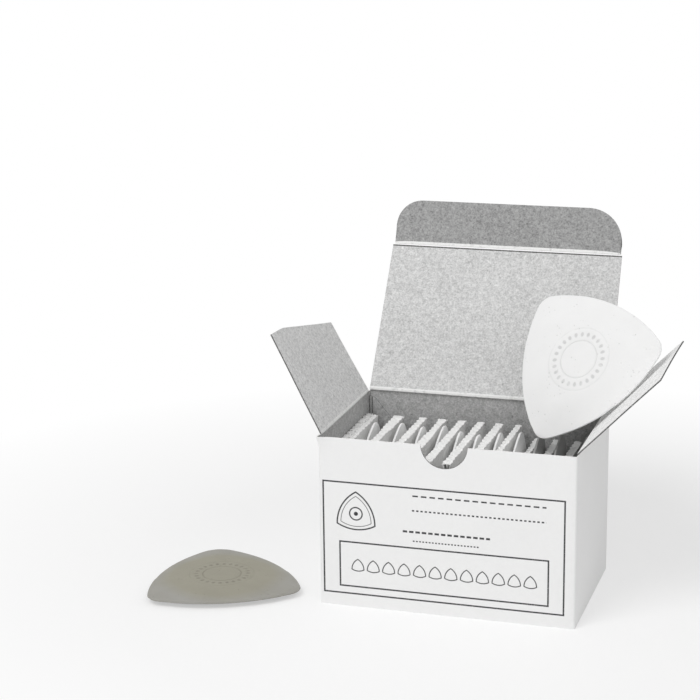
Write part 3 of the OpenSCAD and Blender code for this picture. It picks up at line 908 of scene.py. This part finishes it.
class CHALK_OT_lid(Operator):
    """Build the open lid and its tuck flap"""
    bl_idname = "chalk.lid"
    bl_label = "Lid and tuck flap"

    def execute(self, context):
        scene = context.scene
        carton, flaps, colours = scene.chalk_carton, scene.chalk_flaps, scene.chalk_finishes
        opened = turn_about("X", -math.degrees(flaps.lid_open))
        crease = np.array([0, flaps.lid_axis_y, flaps.lid_axis_z])
        x = np.linspace(-flaps.lid_half, flaps.lid_half, 60)
        root = np.stack([np.full(x.size, -LID_START), x], -1)
        narrowed = np.interp(x, [-flaps.lid_half, flaps.lid_half],
                             [-flaps.lid_half, flaps.lid_half - flaps.lid_taper])
        outer = np.stack([np.full(x.size, flaps.lid_length - LID_END), narrowed], -1)
        middle, thick = folded_sheet(root, outer, 56, LID_SWELL * flaps.crease, carton.board,
                                     -flaps.lid_bow, 21, flaps.score / flaps.lid_length)
        lid = hung(middle, opened, crease)
        # the lid's last row is dark: painted shadow under the tuck flap's crease
        add_flap("lid_board", "lid", "lid_panel", lid[:, ::-1], thick[:, ::-1],
                 board_finishes(colours), 2, painted_shadow_row=True)

        half, corner, other = flaps.lid_half - 0.6 * MM, flaps.tuck_corner, flaps.tuck_right
        right = half - flaps.lid_taper
        arc = np.linspace(0, math.pi / 2, 17)
        flat = np.linspace(corner - half, right - other, 40)[1:-1]
        x = np.concatenate([corner - half - corner * np.cos(arc), flat,
                            right - other + other * np.sin(arc)])
        end = flaps.tuck_length - np.concatenate([
            corner * (1 - np.sin(arc)), np.zeros(flat.size), other * (1 - np.cos(arc))])
        root = np.stack([np.zeros(x.size), x], -1)
        outer = np.stack([end, x], -1)
        middle, thick = folded_sheet(root, outer, 24, TUCK_SWELL * flaps.crease, carton.board,
                                     -0.7 * flaps.lid_bow, 22)
        bent = turn_about("X", math.degrees(flaps.tuck_bend))
        tuck = turned(hung(middle, bent, (0, -flaps.lid_length, 0)), opened, crease)
        # the tuck flap's grey face takes a darker tone: painted shade
        add_flap("tuck_board", "tuck", "tuck_flap", tuck[:, ::-1], thick[:, ::-1],
                 board_finishes(colours, True, "tuck_inside", colours.tuck_tone), 2)
        return {"FINISHED"}


class CHALK_OT_dust_flaps(Operator):
    """Build the two dust flaps"""
    bl_idname = "chalk.dust_flaps"
    bl_label = "Dust flaps"

    def execute(self, context):
        scene = context.scene
        carton, flaps, colours = scene.chalk_carton, scene.chalk_flaps, scene.chalk_finishes
        # each dust flap's grey face takes a lighter tone: painted light
        for side, edge, way, rise, tone, seed in (
                ("left", LEFT_EDGE, -1, flaps.left_rise, colours.left_tone, 31),
                ("right", RIGHT_EDGE, 1, flaps.right_rise, colours.right_tone, 32)):
            share = np.linspace(0, 1, 44)
            stops = np.array(edge)
            outer = np.stack([np.interp(share, stops[:, 0], stops[:, k]) * MM for k in (1, 2)],
                             -1)
            root = np.stack([np.full(share.size, -0.1 * MM),
                             flaps.flap_half * (2 * share - 1)], -1)
            middle, thick = folded_sheet(root, outer, 30, DUST_SWELL * flaps.crease, carton.board,
                                         -way * flaps.flap_bow, seed)
            out, along, up = np.moveaxis(middle, -1, 0)
            c, s = math.cos(rise), math.sin(rise)
            world = np.stack([way * (flaps.flap_axis_x + out * c - up * s), along,
                              flaps.flap_axis_z + out * s + up * c], -1)
            if way < 0:
                world, thick = world[:, ::-1], thick[:, ::-1]
            add_flap(f"{side}_dust_board", f"{side}_flap", f"{side}_dust_flap", world, thick,
                     board_finishes(colours, True, f"{side}_inside", tone), 1)
        return {"FINISHED"}


class CHALK_OT_pads(Operator):
    """Build the corrugated pads between the chalks"""
    bl_idname = "chalk.pads"
    bl_label = "Corrugated pads"

    def execute(self, context):
        scene = context.scene
        pads, colours = scene.chalk_pads, scene.chalk_finishes
        finishes = [finish_named("pad_paper", pad_paper, colours),
                    finish_named("flute_paper", flute_paper, colours)]
        for number, node in enumerate(PADS):
            low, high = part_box(node)
            double = high.x - low.x > 1.5 * pads.thickness
            boards = [pad_sheets(pads, low.x, high.z, 100 + 20 * number,
                                 PAD_SPLAYS[number] * (0.4 if double else 1),
                                 0.8 if double else 0.2)]
            if double:
                boards.append(pad_sheets(pads, high.x - pads.thickness, high.z - 0.4 * MM, 400,
                                         PAD_SPLAYS[number] * 0.4, 0.5))
            points, faces, parts = joined(boards)
            add_piece(f"{node}_board", points, faces, "carton", [node], finishes,
                      parts)
        return {"FINISHED"}


class CHALK_OT_standing_chalks(Operator):
    """Build the chalks that stand between the pads"""
    bl_idname = "chalk.standing_chalks"
    bl_label = "Standing chalks"

    def execute(self, context):
        scene = context.scene
        sizes, carton, colours = scene.chalk_sizes, scene.chalk_carton, scene.chalk_finishes
        corner = sizes.width / math.sqrt(3)
        for number, node in enumerate(CHALKS):
            low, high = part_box(node)
            roll = math.degrees(sizes.roll) + CHALK_ROLLS[number]
            back = carton.depth / 2 - carton.board - sizes.back_gap
            middle = ((low.x + high.x) / 2,
                      back - sizes.width + corner * math.cos(math.radians(30 - roll)),
                      sizes.floor_gap + sizes.width - corner * math.cos(math.radians(roll)))
            stand = turn_about("X", -roll) @ turn_about("Z", 90) @ turn_about("X", 90)
            slot, name, colour, contrast = (
                ("grey_chalk", "pressed_grey", colours.grey, 0.2) if number >= FIRST_GREY
                else ("white_chalk", "pressed_stood", colours.stood, 0.16))
            finish = finish_named(name, pressed_chalk, name, colour, sizes, contrast)
            add_chalk(node, sizes, finish, slot, stand, middle, seed=200 + number,
                      chips=0.25 * MM)
        return {"FINISHED"}


class CHALK_OT_drawn_chalk(Operator):
    """Build the chalk that is drawn out of the carton"""
    bl_idname = "chalk.drawn_chalk"
    bl_label = "Drawn chalk"

    def execute(self, context):
        sizes, colours = context.scene.chalk_sizes, context.scene.chalk_finishes
        z, y, x = DRAWN_TURNS
        rotation = turn_about("Z", z) @ turn_about("Y", y) @ turn_about("X", x)
        # its middle is set so that its box meets the CAD's
        points = turned(chalk_body(sizes)[0], rotation, (0, 0, 0))
        middle = (np.array(DRAWN_LOW) + np.array(DRAWN_HIGH)
                  - points.min(0) - points.max(0)) / 2
        finish = pressed_chalk("pressed_white", colours.white, sizes, 0.12)
        add_chalk("drawn_chalk", sizes, finish, "white_chalk", rotation, middle, seed=260,
                  chips=0.15 * MM)
        return {"FINISHED"}


class CHALK_OT_loose_chalk(Operator):
    """Build the loose chalk on the table"""
    bl_idname = "chalk.loose_chalk"
    bl_label = "Loose chalk"

    def execute(self, context):
        sizes, colours = context.scene.chalk_sizes, context.scene.chalk_finishes
        finish = pressed_chalk("pressed_olive", colours.olive, sizes, 0.34,
                               colours.olive_border)
        add_chalk("loose_chalk", sizes, finish, "olive_chalk", turn_about("Z", LOOSE_TURN),
                  (*LOOSE_PLACE, sizes.thickness / 2), cut_tip=sizes.cut_tip, seed=270,
                  chips=0.3 * MM)
        return {"FINISHED"}


class CHALK_OT_stage(Operator):
    """Set the floor, the lamps and the camera"""
    bl_idname = "chalk.stage"
    bl_label = "Stage"

    def execute(self, context):
        scene, stage = context.scene, context.scene.chalk_stage
        side = stage.floor
        mesh = bpy.data.meshes.new("floor")
        mesh.from_pydata([(-side, -side, 0), (side, -side, 0), (side, side, 0),
                          (-side, side, 0)], [], [(0, 1, 2, 3)])
        mesh.materials.append(floor_finish(stage))
        floor = bpy.data.objects.new("floor", mesh)
        scene.collection.objects.link(floor)

        add_lamp("key", KEY_PLACE, stage.key)
        add_lamp("fill", FILL_PLACE, stage.fill)
        set_sky(stage.sky)

        camera = bpy.data.objects.new("camera", bpy.data.cameras.new("camera"))
        camera.data.lens, camera.data.sensor_width = stage.lens, 36
        camera.data.clip_start, camera.data.clip_end = 0.01, 50
        camera.matrix_world = (Matrix.Translation(stage.camera_place)
                               @ Matrix.Rotation(stage.turn, 4, "Z")
                               @ Matrix.Rotation(math.pi / 2 - stage.dip, 4, "X")
                               @ Matrix.Rotation(stage.roll, 4, "Z"))
        scene.collection.objects.link(camera)
        scene.camera = camera
        scene.view_settings.view_transform = "Standard"
        return {"FINISHED"}


def add_lamp(name, place, watts):
    """A square area lamp that looks at the carton."""
    lamp = bpy.data.lights.new(name, "AREA")
    lamp.shape, lamp.size, lamp.energy = "SQUARE", LAMP_SIZE, watts
    holder = bpy.data.objects.new(name, lamp)
    way = Vector(place) - Vector(LAMP_TARGET)
    holder.matrix_world = (Matrix.Translation(place)
                           @ way.to_track_quat("Z", "Y").to_matrix().to_4x4())
    bpy.context.scene.collection.objects.link(holder)


def set_sky(strength):
    """Even light, seen as white by the camera and in reflections."""
    world = bpy.data.worlds.new("sky")
    bpy.context.scene.world = world
    f = Finish(world=world)
    level = f.seen() * (1.0 - strength) + strength
    f.add("ShaderNodeOutputWorld", {},
          {"Surface": f.add("ShaderNodeBackground", {},
                            {"Color": (1, 1, 1, 1), "Strength": level})})


def floor_finish(stage):
    """Pale floor that keeps the shadows near the carton and turns white further out, where
    it is seen and not where it lights."""
    f = Finish("pale_floor")
    x, y, _ = f.split(f.place())
    far = (x * x + y * y).root().step(WHITE_FROM, WHITE_OVER)
    diffuse = f.add("ShaderNodeBsdfDiffuse", {}, {"Color": (*stage.floor_tint, 1)})
    glow = f.add("ShaderNodeEmission", {}, {"Strength": 1.0})
    share = (stage.near_white + (1.0 - stage.near_white) * far) * f.seen()
    f.add("ShaderNodeOutputMaterial", {}, {
        "Surface": f.add("ShaderNodeMixShader", {}, {0: share, 1: diffuse, 2: glow})})
    return f.owner


class CHALK_PT_panel(Panel):
    """Lists the carton's sizes, finishes and operators"""
    bl_idname = "CHALK_PT_panel"
    bl_label = "Chalk Carton"
    bl_space_type = "VIEW_3D"
    bl_region_type = "UI"
    bl_category = "Chalk Carton"

    def draw(self, context):
        for name in GROUPS:
            box = self.layout.box()
            group = getattr(context.scene, name)
            for key in group.__annotations__:
                box.prop(group, key)
        for operator in OPERATORS:
            self.layout.operator(operator.bl_idname)


GROUPS = {
    "chalk_carton": CartonSizes, "chalk_flaps": FlapSizes, "chalk_pads": PadSizes,
    "chalk_sizes": ChalkSizes, "chalk_finishes": Finishes, "chalk_stage": StageSizes,
}
OPERATORS = (CHALK_OT_walls, CHALK_OT_lid, CHALK_OT_dust_flaps, CHALK_OT_pads,
             CHALK_OT_standing_chalks, CHALK_OT_drawn_chalk, CHALK_OT_loose_chalk,
             CHALK_OT_stage)


def register():
    for cls in (*GROUPS.values(), *OPERATORS, CHALK_PT_panel):
        bpy.utils.register_class(cls)
    for name, cls in GROUPS.items():
        setattr(bpy.types.Scene, name, PointerProperty(type=cls))


def unregister():
    for name in GROUPS:
        delattr(bpy.types.Scene, name)
    for cls in reversed((*GROUPS.values(), *OPERATORS, CHALK_PT_panel)):
        bpy.utils.unregister_class(cls)


def main():
    register()
    for operator in OPERATORS:
        space, name = operator.bl_idname.split(".")
        getattr(getattr(bpy.ops, space), name)()


if __name__ == "__main__":
    main()
